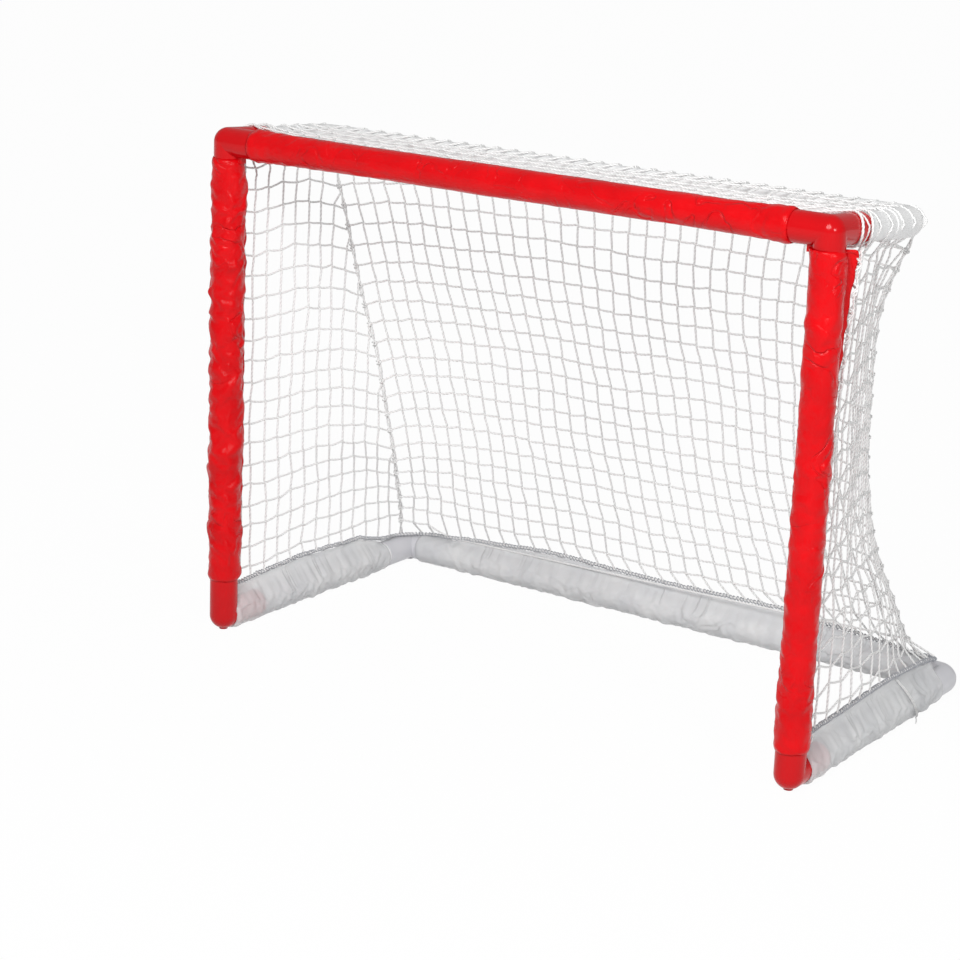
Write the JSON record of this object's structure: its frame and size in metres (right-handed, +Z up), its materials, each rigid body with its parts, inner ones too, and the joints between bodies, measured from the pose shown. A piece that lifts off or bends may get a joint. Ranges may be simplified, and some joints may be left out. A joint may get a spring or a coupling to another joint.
{
  "type": "hockey goal net",
  "caption": "Small household hockey goal: push-together plastic tube frame with red and white fabric sleeves and a white cord net sewn and laced to it.",
  "frame": {"origin": "on the floor, at the middle of the goal's outline", "axes": "+X along the crossbar towards the right post as seen from the front, +Y from the mouth to the rear, +Z up"},
  "size_m": [0.7782, 0.3968, 0.5826],
  "materials": {
    "red_plastic": "semi-gloss moulded",
    "white_plastic": "smooth tube",
    "red_fabric": "shiny nylon, gathered",
    "white_fabric": "semi-translucent nylon",
    "net_cord": "twisted cord"
  },
  "bodies": {
    "root": {"crossbar_coupler": "white_plastic", "crossbar_edge_cord": "net_cord", "crossbar_sleeve": "red_fabric", "left_base_drawcord": "net_cord", "left_base_side_tube": "white_plastic", "left_base_sleeve": "white_fabric", "left_corner_lacing": "net_cord", "left_corner_ties": "net_cord", "left_crossbar_tube": "white_plastic", "left_foot_elbow": "red_plastic", "left_post_edge_cord": "net_cord", "left_post_sleeve": "red_fabric", "left_post_tube": "white_plastic", "left_rear_base_elbow": "white_plastic", "left_rear_base_tube": "white_plastic", "left_rear_top_elbow": "white_plastic", "left_rear_top_tube": "white_plastic", "left_side_net": "net_cord", "left_top_corner": "red_plastic", "left_top_side_tube": "white_plastic", "rear_base_coupler": "white_plastic", "rear_base_sleeve": "white_fabric", "rear_net": "net_cord", "rear_top_coupler": "white_plastic", "right_base_drawcord": "net_cord", "right_base_side_tube": "white_plastic", "right_base_sleeve": "white_fabric", "right_corner_lacing": "net_cord", "right_corner_ties": "net_cord", "right_crossbar_tube": "white_plastic", "right_foot_elbow": "red_plastic", "right_foot_tie": "net_cord", "right_post_edge_cord": "net_cord", "right_post_sleeve": "red_fabric", "right_post_tube": "white_plastic", "right_rear_base_elbow": "white_plastic", "right_rear_base_tube": "white_plastic", "right_rear_top_elbow": "white_plastic", "right_rear_top_tube": "white_plastic", "right_side_net": "net_cord", "right_top_corner": "red_plastic", "right_top_side_tube": "white_plastic", "top_net": "net_cord"}
  },
  "joints": []
}
